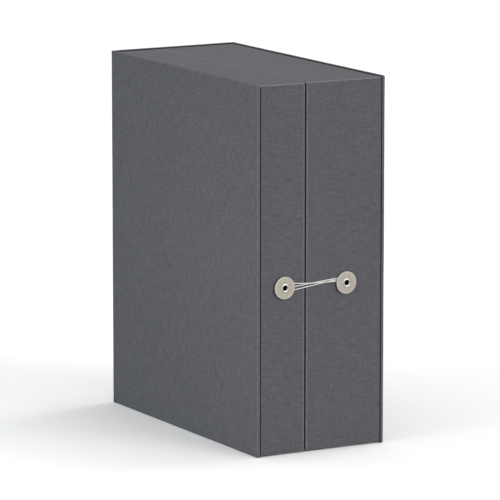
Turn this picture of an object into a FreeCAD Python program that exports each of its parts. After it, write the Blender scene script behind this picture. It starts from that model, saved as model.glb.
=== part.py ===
import FreeCAD, Part
import math
import os

# Upright archival box, in millimetres: a book-style case of three cloth-covered panels with two trays
# that close face to face, drawers in the wide tray, folders in the narrow one and a string-and-button tie.
# Origin: middle of the case's footprint, on the surface it stands on. +X runs from the narrow half to the
# wide half, +Y from the buttons to the spine, +Z up.

V = FreeCAD.Vector

# ---- driving dimensions: the case ----
case_width = 156.0          # outside of the left cover to outside of the right cover
case_depth = 330.0          # front edge of the covers to the outside of the spine
case_height = 400.0         # height of the covers and the spine
cover_board = 2.4           # greyboard in the covers, the spine and the tray walls
cloth = 0.4                 # bookcloth with its glue
cloth_edge_radius = 1.2     # outside rounding where the cloth turns over a board edge
front_square = 1.8          # how far the covers stand past the trays at the front
end_square = 1.5            # the same at the top and at the bottom
narrow_half_width = 59.3    # outside of the left cover to the middle of the seam
seam_gap = 1.2              # between the rims of the two closed trays
turn_in = 12.0              # cloth turned over each rim, down the inside of the walls
back_panel_thickness = 1.6  # board that closes the back of each tray and glues it to its cover
swing_gap = 0.3             # between the narrow tray's rear wall and the spine, for the swing

# ---- driving dimensions: the cloth hinge at the outer left rear corner ----
hinge_lap_cover = 9.0       # hinge cloth glued along the left cover
hinge_lap_spine = 12.0      # hinge cloth along the rear, from the outer corner on
hinge_slot = 0.4            # between the left cover's inner face and the end of the spine
hinge_free_gap = 0.1        # between the hinge cloth and the cover that swings away from it

# ---- driving dimensions: drawers in the wide half ----
shelf_thickness = 2.0
row_heights = [56.0, 56.0, 70.0, 80.0]   # from the top; the last row takes the height that is left
drawers_in_row = [2, 2, 1, 2, 1]
drawer_wall = 1.6
drawer_recess = 1.5         # drawer fronts stand back from the wide tray's rim
drawer_rest_gap = 0.3       # under a drawer
drawer_head_gap = 1.2       # over a drawer
drawer_side_gap = 0.5       # each side of a drawer, and behind it
pull_width = 18.0
pull_length = 9.0
pull_thickness = 0.8
pull_corner_radius = 0.38   # a little under half its thickness

# ---- driving dimensions: document pocket and folders in the narrow half ----
folder_count = 6
folder_thickness = 1.6      # two leaves and the air between them
folder_leaf = 0.5
folder_gap = 0.5            # between folders, and between a folder and the pocket
folder_rest_gap = 0.3       # under a folder
folder_side_gap = 5.6       # between a folder's side edges and the tray's walls
folder_lift_room = 96.0     # over the folder tabs, so that a folder lifts clear of the pocket
folder_tab_width = 46.0
folder_tab_height = 12.0
folder_tab_radius = 4.0
pocket_board = 1.6
pocket_height = 85.0
thumb_notch_radius = 16.0   # half-round notch in the middle of the pocket's top edge

# ---- driving dimensions: string-and-button tie ----
disc_radius = 12.0
disc_thickness = 1.2
disc_edge_radius = 0.35
spacer_radius = 4.0
spacer_thickness = 2.0      # width of the groove behind a disc
eyelet_outer_radius = 3.3   # barrel of the eyelet
eyelet_bore_radius = 2.9
flange_radius = 4.6
flange_thickness = 0.5
flange_dome = 0.7           # rounding of the outer flange, as a share of its thickness
backing_radius = 8.0
backing_thickness = 0.8
backing_seat_clearance = 0.1
disc_bore_clearance = 0.08  # radial, between a disc and its eyelet's barrel
disc_face_gap = 0.1         # each side of a disc, to the spacer and to the flange
washer_bore_clearance = 0.02
left_button_height = 181.2
right_button_height = 180.3
left_button_shift = 1.6     # towards the right, from the middle of its tray's front
right_button_shift = 2.1
string_diameter = 1.2
string_post_gap = 0.1       # between the string and the spacer that it goes round

# ---- worked out from the above ----
panel = cover_board + 2 * cloth
wall = cover_board + 2 * cloth
x_left = -case_width / 2
x_right = case_width / 2
y_front = -case_depth / 2
y_rear = case_depth / 2
x_left_inside = x_left + panel
x_right_inside = x_right - panel
y_spine_inside = y_rear - panel
seam_x = x_left + narrow_half_width
x_narrow_rim = seam_x - seam_gap / 2
x_wide_rim = seam_x + seam_gap / 2
y_tray_front = y_front + front_square
z_tray_bottom = end_square
z_tray_top = case_height - end_square
z_inside_bottom = z_tray_bottom + wall
z_inside_top = z_tray_top - wall
y_inside_front = y_tray_front + wall
y_narrow_rear = y_spine_inside - swing_gap
# the backing washer and the eyelet's inner flange are sunk in the wall, flush with its board
y_board_inside = y_tray_front + cloth + cover_board
y_backing_seat = y_board_inside - flange_thickness - backing_thickness

shapes = {}


def box(low, high):
    """Block between two opposite corners."""
    return Part.makeBox(high[0] - low[0], high[1] - low[1], high[2] - low[2], V(*low))


def cylinder_y(radius, y_start, y_end, centre):
    """Round bar along Y about centre, given as (x, z)."""
    start = V(centre[0], y_start, centre[1])
    return Part.makeCylinder(radius, y_end - y_start, start, V(0, 1, 0))


def ring_y(outer, inner, y_start, y_end, centre):
    """Tube along Y about centre, given as (x, z)."""
    bore = cylinder_y(inner, y_start - 1, y_end + 1, centre)
    return cylinder_y(outer, y_start, y_end, centre).cut(bore)


def rounded(shape, radius, wanted):
    """The shape with the straight edges that wanted(middle, direction) picks rounded."""
    picked = []
    for edge in shape.Edges:
        run = edge.Vertexes[-1].Point - edge.Vertexes[0].Point
        if wanted(edge.CenterOfMass, run.normalize()):
            picked.append(edge)
    return shape.makeFillet(radius, picked)


def near(a, b):
    return abs(a - b) < 1e-6


def rounded_block(low, high, radius, wanted=lambda middle, direction: True):
    return rounded(box(low, high), radius, wanted)


def inset(low, high, by):
    return [value + by for value in low], [value - by for value in high]


# ---- case panels: a board sealed in its cloth ----
def covered_panel(name, low, high, wanted, window=None):
    """Board and cloth of one case panel; window is a block where other cloth takes over."""
    skin = rounded_block(low, high, cloth_edge_radius, wanted)
    board_low, board_high = inset(low, high, cloth)
    board = rounded_block(board_low, board_high, cloth_edge_radius - cloth, wanted)
    skin = skin.cut(board)
    if window:
        skin = skin.cut(window)
        board = board.cut(window)
    shapes[name + "_board"] = board
    shapes[name + "_cloth"] = skin


def make_case():
    low = [x_right_inside, y_front, 0]
    high = [x_right, y_rear, case_height]
    covered_panel("right_cover", low, high, lambda middle, direction: True)

    # the left cover stops short of the hinge cloth that crosses its rear edge
    y_end = y_rear - cloth - hinge_free_gap
    low = [x_left, y_front, 0]
    high = [x_left_inside, y_end, case_height]
    window = hinge_corner(0, hinge_free_gap)
    covered_panel("left_cover", low, high, lambda middle, direction: not near(middle.y, y_end), window)

    # the spine stands between the covers; only its top and bottom edges are rounded
    x_start = x_left_inside + hinge_slot
    low = [x_start, y_spine_inside, 0]
    high = [x_right_inside, y_rear, case_height]
    window = box((x_start, y_rear - cloth, 0), (x_left + hinge_lap_spine, y_rear, case_height))
    covered_panel("spine", low, high, lambda middle, direction: near(abs(direction.x), 1), window)


def hinge_corner(outer_radius, gap):
    """L-shaped angle round the outer left rear corner, as thick as the cloth and a gap inside it."""
    depth = cloth + gap
    outer = box((x_left, y_rear - hinge_lap_cover, 0), (x_left + hinge_lap_spine, y_rear, case_height))
    if outer_radius:
        outer = rounded(outer, outer_radius,
                        lambda middle, direction: near(middle.x, x_left) and near(middle.y, y_rear))
    inner = rounded_block((x_left + depth, y_rear - hinge_lap_cover - 1, -1),
                          (x_left + hinge_lap_spine + 1, y_rear - depth, case_height + 1),
                          cloth_edge_radius - depth,
                          lambda middle, direction: near(middle.x, x_left + depth)
                          and near(middle.y, y_rear - depth))
    return outer.cut(inner)


# ---- trays: four board walls with one cloth over them ----
def tray_ring(x_start, x_end, y_end, outside, inside):
    """Rectangular ring along X; outside and inside are depths below the tray's outer faces."""
    low = (x_start, y_tray_front + outside, z_tray_bottom + outside)
    high = (x_end, y_end - outside, z_tray_top - outside)
    hole_low = (x_start - 1, y_tray_front + inside, z_tray_bottom + inside)
    hole_high = (x_end + 1, y_end - inside, z_tray_top - inside)
    return box(low, high), box(hole_low, hole_high)


def make_tray(half, x_rim, x_cover, y_end, button):
    """One tray, open at x_rim and glued to its cover at x_cover."""
    inward = 1 if x_cover > x_rim else -1
    x_board = x_rim + inward * cloth
    x_turn = x_rim + inward * turn_in
    x_span = sorted((x_rim, x_cover))
    board_span = sorted((x_board, x_cover))

    def outer_edges(middle, direction):
        return near(abs(direction.x), 1) or near(middle.x, x_span[0 if inward > 0 else 1])

    def board_edges(middle, direction):
        return near(abs(direction.x), 1) or near(middle.x, board_span[0 if inward > 0 else 1])

    outer, hollow = tray_ring(x_span[0], x_span[1], y_end, 0, wall)
    outer = rounded(outer, cloth_edge_radius, outer_edges)
    board, board_hollow = tray_ring(board_span[0], board_span[1], y_end, cloth, cloth + cover_board)
    board = rounded(board, cloth_edge_radius - cloth, board_edges).cut(board_hollow)
    skin = outer.cut(hollow).cut(board)
    lined_span = sorted((x_turn, x_cover))
    bare = box((lined_span[0], y_tray_front + cloth + cover_board, z_tray_bottom + cloth + cover_board),
               (lined_span[1], y_end - cloth - cover_board, z_tray_top - cloth - cover_board))
    hole = cylinder_y(eyelet_outer_radius, y_tray_front - 1, y_inside_front + 1, button)
    seat = cylinder_y(backing_radius + backing_seat_clearance, y_backing_seat, y_inside_front, button)
    hole = hole.fuse(seat)
    shapes[half + "_tray_cloth"] = skin.cut(bare).cut(hole)

    # front and rear walls run the full height, the top and bottom walls stand between them
    y_split_front = y_tray_front + cloth + cover_board
    y_split_rear = y_end - cloth - cover_board
    z_middle = case_height / 2
    cutters = {
        "front": ((-case_width, y_front - 1, -1), (case_width, y_split_front, case_height + 1)),
        "rear": ((-case_width, y_split_rear, -1), (case_width, y_rear + 1, case_height + 1)),
        "top": ((-case_width, y_split_front, z_middle), (case_width, y_split_rear, case_height + 1)),
        "bottom": ((-case_width, y_split_front, -1), (case_width, y_split_rear, z_middle)),
    }
    for side, (low, high) in cutters.items():
        piece = board.common(box(low, high))
        if side == "front":
            piece = piece.cut(hole)
        shapes[half + "_tray_" + side + "_wall"] = piece

    x_back = x_cover - inward * back_panel_thickness
    back_span = sorted((x_back, x_cover))
    shapes[half + "_tray_back_panel"] = box(
        (back_span[0], y_tray_front + cloth + cover_board, z_tray_bottom + cloth + cover_board),
        (back_span[1], y_end - cloth - cover_board, z_tray_top - cloth - cover_board))


# ---- wide half: shelves, dividers and drawers ----
# shelves and dividers reach the walls' board and are notched round the cloth that is turned in at the rim
def make_drawers():
    x_back = x_right_inside - back_panel_thickness
    x_front = x_wide_rim + drawer_recess
    y_low = y_inside_front
    y_high = y_spine_inside - wall
    z_low = z_inside_bottom
    z_high = z_inside_top
    shelves = len(row_heights)
    last_row = z_high - z_low - sum(row_heights) - shelves * shelf_thickness
    z_top = z_high
    drawer_number = 1
    divider_number = 1
    for row, height in enumerate(row_heights + [last_row]):
        z_floor = z_top - height
        if row < shelves:
            shelf = box((x_front, y_low - cloth, z_floor - shelf_thickness),
                        (x_back, y_high + cloth, z_floor))
            shapes["shelf_%d" % (row + 1)] = shelf.cut(shapes["wide_tray_cloth"])
        count = drawers_in_row[row]
        cell = (y_high - y_low - (count - 1) * shelf_thickness) / count
        for place in range(count):
            y_cell = y_low + place * (cell + shelf_thickness)
            if place > 0:
                foot = cloth if row == shelves else 0
                head = cloth if row == 0 else 0
                divider = box((x_front, y_cell - shelf_thickness, z_floor - foot),
                              (x_back, y_cell, z_top + head))
                shapes["divider_%d" % divider_number] = divider.cut(shapes["wide_tray_cloth"])
                divider_number += 1
            make_drawer(drawer_number,
                        (x_front, y_cell + drawer_side_gap, z_floor + drawer_rest_gap),
                        (x_back - drawer_side_gap, y_cell + cell - drawer_side_gap,
                         z_top - drawer_head_gap))
            drawer_number += 1
        z_top = z_floor - shelf_thickness


def make_drawer(number, low, high):
    hollow = box((low[0] + drawer_wall, low[1] + drawer_wall, low[2] + drawer_wall),
                 (high[0] - drawer_wall, high[1] - drawer_wall, high[2] + 1))
    shapes["drawer_%d" % number] = box(low, high).cut(hollow)
    y_middle = (low[1] + high[1]) / 2
    z_middle = (low[2] + high[2]) / 2
    tab = rounded_block((low[0] - pull_length, y_middle - pull_width / 2, z_middle - pull_thickness / 2),
                        (low[0], y_middle + pull_width / 2, z_middle + pull_thickness / 2),
                        pull_corner_radius,
                        lambda middle, direction: near(middle.x, low[0] - pull_length)
                        and near(abs(direction.y), 1))
    shapes["drawer_%d_pull" % number] = tab


# ---- narrow half: document pocket and folders ----
def make_pocket_and_folders():
    x_back = x_left_inside + back_panel_thickness
    y_low = y_inside_front
    y_high = y_narrow_rear - wall
    y_middle = (y_low + y_high) / 2
    x_pocket = x_back + folder_count * (folder_thickness + folder_gap) + folder_gap
    front = box((x_pocket, y_low - cloth, z_inside_bottom - cloth),
                (x_pocket + pocket_board, y_high + cloth, z_inside_bottom + pocket_height))
    notch = Part.makeCylinder(thumb_notch_radius, pocket_board + 2,
                              V(x_pocket - 1, y_middle, z_inside_bottom + pocket_height), V(1, 0, 0))
    shapes["document_pocket"] = front.cut(notch)

    folder_width = y_high - y_low - 2 * folder_side_gap
    tab_step = (folder_width - folder_tab_width) / (folder_count - 1)
    y_start = y_low + folder_side_gap
    z_foot = z_inside_bottom - cloth + folder_rest_gap
    folder_height = z_inside_top - z_foot - folder_lift_room - folder_tab_height
    for number in range(1, folder_count + 1):
        x_leaf = x_back + folder_gap + (number - 1) * (folder_thickness + folder_gap)
        x_far = x_leaf + folder_thickness
        body = box((x_leaf, y_start, z_foot), (x_far, y_start + folder_width, z_foot + folder_height))
        slit = box((x_leaf + folder_leaf, y_start - 1, z_foot + folder_leaf),
                   (x_far - folder_leaf, y_start + folder_width + 1, z_foot + folder_height + 1))
        y_tab = y_start + (number - 1) * tab_step
        z_tab = z_foot + folder_height
        tab = rounded_block((x_leaf, y_tab, z_tab - folder_tab_height),
                            (x_leaf + folder_leaf, y_tab + folder_tab_width, z_tab + folder_tab_height),
                            folder_tab_radius,
                            lambda middle, direction: near(abs(direction.x), 1) and middle.z > z_tab)
        shapes["folder_%d" % number] = body.cut(slit).fuse(tab).removeSplitter()


# ---- string-and-button tie ----
y_groove_front = y_tray_front - spacer_thickness
y_disc_back = y_groove_front - disc_face_gap
y_disc_front = y_disc_back - disc_thickness
y_flange_back = y_disc_front - disc_face_gap


def make_button(side, centre):
    """Disc, spacer, eyelet and backing washer of one button about centre, given as (x, z)."""
    washer_bore = eyelet_outer_radius + washer_bore_clearance
    disc = cylinder_y(disc_radius, y_disc_front, y_disc_back, centre)
    disc = disc.makeFillet(disc_edge_radius, [edge for edge in disc.Edges if edge.Closed])
    shapes[side + "_disc"] = disc.cut(
        cylinder_y(eyelet_outer_radius + disc_bore_clearance, y_disc_front - 1, y_disc_back + 1, centre))
    shapes[side + "_spacer"] = ring_y(spacer_radius, washer_bore, y_groove_front, y_tray_front, centre)
    y_backing = y_backing_seat + backing_thickness
    shapes[side + "_backing_washer"] = ring_y(backing_radius, washer_bore, y_backing_seat, y_backing, centre)

    # the eyelet is one turned shape: outer flange with a domed face, barrel, rolled inner flange
    y_tip = y_flange_back - flange_thickness
    y_end = y_backing + flange_thickness
    flange = cylinder_y(flange_radius, y_tip, y_flange_back, centre)
    flange = flange.makeFillet(flange_thickness * flange_dome,
                               [e for e in flange.Edges if e.Closed and near(e.CenterOfMass.y, y_tip)])
    rolled = cylinder_y(flange_radius, y_backing, y_end, centre)
    barrel = cylinder_y(eyelet_outer_radius, y_flange_back, y_backing, centre)
    eyelet = flange.fuse(barrel).fuse(rolled).removeSplitter()
    shapes[side + "_eyelet"] = eyelet.cut(cylinder_y(eyelet_bore_radius, y_tip - 1, y_end + 1, centre))


def rounded_path(corners):
    """Wire of straight runs joined by tangent arcs; corners are (point, radius)."""
    edges = []
    at = corners[0][0]
    shortest = None
    for index in range(1, len(corners) - 1):
        point, radius = corners[index]
        before = (point - corners[index - 1][0]).normalize()
        after = (corners[index + 1][0] - point).normalize()
        half_turn = before.getAngle(after) / 2
        reach = radius * math.tan(half_turn)
        start = point - before * reach
        end = point + after * reach
        to_centre = (after - before).normalize()
        centre = point + to_centre * (radius / math.cos(half_turn))
        middle = centre - to_centre * radius
        if (start - at).Length > 1e-6:
            edges.append(Part.LineSegment(at, start).toShape())
        edges.append(Part.Arc(start, middle, end).toShape())
        shortest = radius if shortest is None else min(shortest, radius)
        at = end
    edges.append(Part.LineSegment(at, corners[-1][0]).toShape())
    print("string: %d arcs, smallest radius %.2f mm" % (len(corners) - 2, shortest))
    return Part.Wire(edges)


def string_corners(left, right):
    """The string's route between the two posts: three taut strands, wound round both spacers.
    Each row is (post, along X from it, along Z from it, depth in front of the tray, radius)."""
    lap = spacer_radius + string_diameter / 2 + string_post_gap    # first turn round a spacer
    over = lap + string_diameter + string_post_gap                 # second turn, outside the first
    deep = string_diameter / 2 + string_post_gap                   # string lies on the tray's cloth
    lift = deep + 0.4                                              # strand that crosses the others
    cross = deep + string_diameter + 0.15                          # where it passes in front of them
    rows = [
        (left, lap + 0.3, -0.5, deep, None),       # tied end at the left post
        (right, -6.0, over, deep, 30.0),           # first strand, over the right post
        (right, over, over, deep, over),
        (right, over, -over, deep, over),
        (right, -over, -over, deep, over),
        (right, -over, 2.0, lift, 1.8),            # turns back towards the left post
        (right, -12.4, 2.3, lift, 8.0),
        (right, -18.0, 2.6, cross, 8.0),
        (left, 30.5, 2.3, cross, 8.0),
        (left, 22.0, 2.7, deep, 8.0),              # second strand, over the left post
        (left, 2.0, lap, deep, 25.0),
        (left, -lap, lap, deep, lap),
        (left, -lap, -lap, deep, lap),
        (left, 2.0, -lap, deep, 25.0),
        (right, -6.0, lap, deep, 20.0),            # third strand, over the right post
        (right, lap, lap, deep, lap),
        (right, lap, -lap, deep, lap),
        (right, -1.0, -lap, deep, None),           # free end, tucked behind the right disc
    ]
    corners = []
    for post, along, up, depth, radius in rows:
        corners.append((V(post[0] + along, y_tray_front - depth, post[1] + up), radius))
    return corners


def make_string(left, right):
    path = rounded_path(string_corners(left, right))
    first = path.OrderedEdges[0]
    start = first.valueAt(first.FirstParameter)
    direction = first.tangentAt(first.FirstParameter)
    ring = Part.Wire([Part.Circle(start, direction, string_diameter / 2).toShape()])
    tube = path.makePipeShell([ring], True, True)
    section = math.pi * string_diameter ** 2 / 4
    print("string: length %.1f mm, volume %.1f mm3, section x length %.1f mm3"
          % (path.Length, tube.Volume, section * path.Length))
    shapes["closure_string"] = tube


left_button = ((x_left_inside + x_narrow_rim) / 2 + left_button_shift, left_button_height)
right_button = ((x_wide_rim + x_right_inside) / 2 + right_button_shift, right_button_height)
make_case()
shapes["hinge_cloth"] = hinge_corner(cloth_edge_radius, 0)
make_tray("wide", x_wide_rim, x_right_inside, y_spine_inside, right_button)
make_tray("narrow", x_narrow_rim, x_left_inside, y_narrow_rear, left_button)
make_drawers()
make_pocket_and_folders()
make_button("left", left_button)
make_button("right", right_button)
make_string(left_button, right_button)

os.makedirs("parts", exist_ok=True)
for name, shape in shapes.items():
    if not shape.isValid():
        raise ValueError(name + " isn't a valid solid")
    if len(shape.Solids) != 1:
        raise ValueError("%s is %d solids" % (name, len(shape.Solids)))
    shape.Solids[0].exportStep("parts/" + name + ".step")
print("%d nodes written" % len(shapes))
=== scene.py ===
import bpy
import bmesh
import math
import numpy as np
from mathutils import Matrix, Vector, noise


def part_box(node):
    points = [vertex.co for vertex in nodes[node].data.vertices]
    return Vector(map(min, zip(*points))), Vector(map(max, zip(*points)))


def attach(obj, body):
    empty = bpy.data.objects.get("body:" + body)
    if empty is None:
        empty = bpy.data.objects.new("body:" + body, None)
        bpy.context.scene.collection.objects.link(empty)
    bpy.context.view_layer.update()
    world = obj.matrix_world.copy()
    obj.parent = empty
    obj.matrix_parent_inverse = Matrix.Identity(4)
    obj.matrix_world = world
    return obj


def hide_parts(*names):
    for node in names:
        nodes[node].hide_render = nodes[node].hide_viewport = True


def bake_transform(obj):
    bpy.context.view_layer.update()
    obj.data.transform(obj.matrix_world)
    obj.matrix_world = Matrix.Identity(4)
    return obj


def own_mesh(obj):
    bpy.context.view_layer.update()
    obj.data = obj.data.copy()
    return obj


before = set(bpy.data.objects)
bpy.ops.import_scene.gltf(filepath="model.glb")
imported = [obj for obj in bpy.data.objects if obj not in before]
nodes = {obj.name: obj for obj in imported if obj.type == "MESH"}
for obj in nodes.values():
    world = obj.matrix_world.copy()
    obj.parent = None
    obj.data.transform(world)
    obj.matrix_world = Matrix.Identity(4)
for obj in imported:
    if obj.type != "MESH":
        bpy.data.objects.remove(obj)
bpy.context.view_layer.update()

mm = 0.001

def addObject(name, data):
    made = bpy.data.objects.new(name, data)
    bpy.context.scene.collection.objects.link(made)
    return made


def aimAlong(thing, way):
    thing.rotation_mode = "QUATERNION"
    thing.rotation_quaternion = way.to_track_quat("-Z", "Y")


# camera, at the viewing angle that the box is seen from
cameraSetup = {
    "azimuth": -29.434,  # degrees, seen from the front left
    "elevation": 9.883,
    "distance": 4.589,  # metres from the middle of the case
    "lens": 301.26,
    "sensor": 36.0,
    "shiftX": 0.00968,
    "shiftY": -0.01288,
    "target": (0.0, 0.0, 0.2),
}


def makeCamera(setup):
    data = bpy.data.cameras.new("boxCamera")
    data.lens = setup["lens"]
    data.sensor_width = setup["sensor"]
    data.shift_x = setup["shiftX"]
    data.shift_y = setup["shiftY"]
    data.clip_start = 0.1
    data.clip_end = 100.0
    camera = addObject("boxCamera", data)
    a = math.radians(setup["azimuth"])
    e = math.radians(setup["elevation"])
    back = Vector((math.sin(a) * math.cos(e), -math.cos(a) * math.cos(e), math.sin(e)))
    camera.location = Vector(setup["target"]) + back * setup["distance"]
    aimAlong(camera, -back)
    bpy.context.scene.camera = camera


makeCamera(cameraSetup)
print("camera placed")


# small node helpers
class NodeKit:
    # wraps a node tree, so that nodes are made and wired in one line each
    def __init__(self, tree):
        self.tree = tree

    def add(self, kind, **settings):
        node = self.tree.nodes.new("ShaderNode" + kind)
        for key, value in settings.items():
            setattr(node, key, value)
        return node

    def wire(self, source, target):
        self.tree.links.new(source, target)

    def place(self):
        return self.add("TexCoord").outputs["Object"]

    def marked(self, title):
        # a value that the mesh carries
        return self.add("Attribute", attribute_name=title).outputs["Fac"]

    def feed(self, socket, value):
        # a socket takes another socket, or a plain value
        if isinstance(value, bpy.types.NodeSocket):
            self.wire(value, socket)
        elif value is not None:
            socket.default_value = value

    def math(self, operation, a, b=None, clamp=False):
        node = self.add("Math", operation=operation, use_clamp=clamp)
        self.feed(node.inputs[0], a)
        self.feed(node.inputs[1], b)
        return node.outputs[0]

    def times(self, a, b):
        return self.math("MULTIPLY", a, b)

    def plus(self, a, b, clamp=False):
        return self.math("ADD", a, b, clamp)

    def vector(self, operation, a, b):
        node = self.add("VectorMath", operation=operation)
        self.feed(node.inputs[0], a)
        self.feed(node.inputs[1], b)
        return node.outputs[0]

    def mix(self, factor, a, b):
        node = self.add("Mix", data_type="RGBA")
        self.feed(node.inputs["Factor"], factor)
        for slot, colour in ((6, a), (7, b)):
            self.feed(node.inputs[slot], (*colour, 1.0) if isinstance(colour, tuple) else colour)
        return node.outputs[2]

    def drive(self, node, **sources):
        for title, source in sources.items():
            self.wire(source, node.inputs[title.replace("_", " ")])

    def remap(self, value, low, high, newLow=0.0, newHigh=1.0):
        node = self.add("MapRange")
        for slot, given in zip(node.inputs, (value, low, high, newLow, newHigh)):
            self.feed(slot, given)
        return node.outputs[0]

    def noise(self, vector, scale, detail=2.0, roughness=0.5):
        node = self.add("TexNoise")
        self.feed(node.inputs["Vector"], vector)
        self.feed(node.inputs["Scale"], scale)
        node.inputs["Detail"].default_value = detail
        node.inputs["Roughness"].default_value = roughness
        return node.outputs["Fac"]

    def combine(self, x, y, z=0.0):
        node = self.add("CombineXYZ")
        for slot, value in zip(node.inputs, (x, y, z)):
            self.feed(slot, value)
        return node.outputs[0]

    def split(self, vector):
        node = self.add("SeparateXYZ")
        self.wire(vector, node.inputs[0])
        return node.outputs

    def bump(self, height, distance, strength):
        node = self.add("Bump")
        node.inputs["Strength"].default_value = strength
        node.inputs["Distance"].default_value = distance
        self.wire(height, node.inputs["Height"])
        return node.outputs["Normal"]


def newGroup(name, inputs, outputs):
    # inputs are (name, default), a vector where there is no default; outputs are names of values
    tree = bpy.data.node_groups.new(name, "ShaderNodeTree")
    for title, default in inputs:
        kind = "NodeSocketVector" if default is None else "NodeSocketFloat"
        made = tree.interface.new_socket(name=title, in_out="INPUT", socket_type=kind)
        if default is not None:
            made.default_value = default
    for title in outputs:
        tree.interface.new_socket(name=title, in_out="OUTPUT", socket_type="NodeSocketFloat")
    given = tree.nodes.new("NodeGroupInput").outputs[:len(inputs)]
    return NodeKit(tree), given, tree.nodes.new("NodeGroupOutput")


def useGroup(kit, group, **values):
    # the group's outputs, in their order
    node = kit.add("Group", node_tree=group)
    for title, value in values.items():
        kit.feed(node.inputs[title], value)
    return node.outputs


# effects that several materials share
def makeWeaveGroup():
    # plain weave with uneven threads: thread relief, slubs along both ways of the cloth, loose fibres
    kit, (cloth, pitch, seed), result = newGroup(
        "plainWeave", (("Cloth", None), ("Pitch", 0.00042), ("Seed", 0.0)), ("Relief", "Slubs", "Fibres"))
    x, y, _ = kit.split(cloth)
    # the threads wander a little from straight
    wander = kit.noise(kit.combine(kit.times(x, 90.0), kit.times(y, 90.0), seed), 1.0, 1.0)
    wander = kit.times(kit.math("SUBTRACT", wander, 0.5), 0.0009)
    turns = kit.math("DIVIDE", math.pi, pitch)
    warp = kit.math("SINE", kit.times(kit.plus(x, wander), turns))
    weft = kit.math("SINE", kit.times(kit.math("SUBTRACT", y, wander), turns))
    over = kit.remap(kit.times(warp, weft), -0.25, 0.25)
    warpTop = kit.times(kit.math("ABSOLUTE", warp), over)
    weftTop = kit.times(kit.math("ABSOLUTE", weft), kit.math("SUBTRACT", 1.0, over))

    def streaks(across, along, width, length, shift):
        place = kit.combine(kit.math("DIVIDE", across, width), kit.math("DIVIDE", along, length),
                            kit.plus(seed, shift))
        return kit.noise(place, 1.0, 3.0, 0.62)

    along = streaks(x, y, 0.0011, 0.014, 3.1)  # slubs that run up the cloth
    across = streaks(y, x, 0.0011, 0.009, 7.7)  # and those across it
    nubs = streaks(x, y, 0.0016, 0.0022, 5.3)  # short thick places in the threads
    both = kit.plus(kit.times(along, 0.40), kit.times(across, 0.26))
    both = kit.plus(both, kit.times(nubs, 0.34))
    fine = kit.vector("MULTIPLY", cloth, (5200.0, 5200.0, 1.0))
    kit.drive(result, Relief=kit.math("MAXIMUM", warpTop, weftTop), Slubs=both,
              Fibres=kit.noise(fine, 1.0, 2.0, 0.7))
    return kit.tree


def makeMottleGroup():
    # soft patches of tone and fine specks, for board, paper and fibre
    kit, (place, patch, speck, seed), result = newGroup(
        "mottle", (("Place", None), ("Patch", 0.03), ("Speck", 0.0006), ("Seed", 0.0)),
        ("Patches", "Specks", "Grain"))
    place = kit.vector("ADD", place, kit.combine(seed, 0.0))
    dots = kit.add("TexVoronoi", feature="F1")
    kit.drive(dots, Vector=place, Scale=kit.math("DIVIDE", 0.5, speck))
    kit.drive(result, Patches=kit.noise(place, kit.math("DIVIDE", 1.0, patch), 3.0, 0.55),
              Specks=kit.remap(dots.outputs["Distance"], 0.0, 0.28, 1.0, 0.0),
              Grain=kit.noise(place, kit.math("DIVIDE", 0.7, speck), 4.0, 0.65))
    return kit.tree


def makeEdgeGroup():
    # colour lighter where a surface turns over an edge, partly wear and partly a painted highlight, and
    # painted shade where it runs into a narrow gap, both read from the mesh's own values
    kit, (place, amount, scale), result = newGroup(
        "edgeWear", (("Place", None), ("Amount", 0.5), ("Break", 220.0)), ("Wear", "Shade"))
    broken = kit.noise(place, scale, 3.0, 0.6)
    worn = kit.times(kit.marked("edge"), kit.remap(broken, 0.3, 0.62, 0.35, 1.0))
    kit.drive(result, Wear=kit.times(worn, amount), Shade=kit.marked("crease"))
    return kit.tree


weaveGroup = makeWeaveGroup()
mottleGroup = makeMottleGroup()
edgeGroup = makeEdgeGroup()


def startMaterial(name, roughness, **fixed):
    material = bpy.data.materials.new(name)
    material.use_nodes = True
    kit = NodeKit(material.node_tree)
    shader = material.node_tree.nodes["Principled BSDF"]
    shader.inputs["Roughness"].default_value = roughness
    for title, value in fixed.items():
        shader.inputs[title.replace("_", " ")].default_value = value
    return material, kit, shader


# cloth, paper, board, fibre, metal and string
clothLook = {
    "dark": (0.0640, 0.0620, 0.0675),  # between the threads
    "light": (0.1590, 0.1555, 0.1690),  # on the crowns of the threads
    "worn": (0.2500, 0.2450, 0.2520),  # turned edges, lighter: partly wear, partly a painted highlight
    "deep": (0.0050, 0.0048, 0.0050),  # painted shade in the narrow gaps
    "pitch": 0.00042,
    "relief": 0.00007,
    "sheen": 0.03,
    "specular": 0.07,
    "roughness": 0.88,
}

# the covers show their weave a little more
coverLook = dict(
    clothLook,
    dark=(0.0560, 0.0545, 0.0595),
    light=(0.1680, 0.1640, 0.1780),
    relief=0.00010,
)


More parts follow.
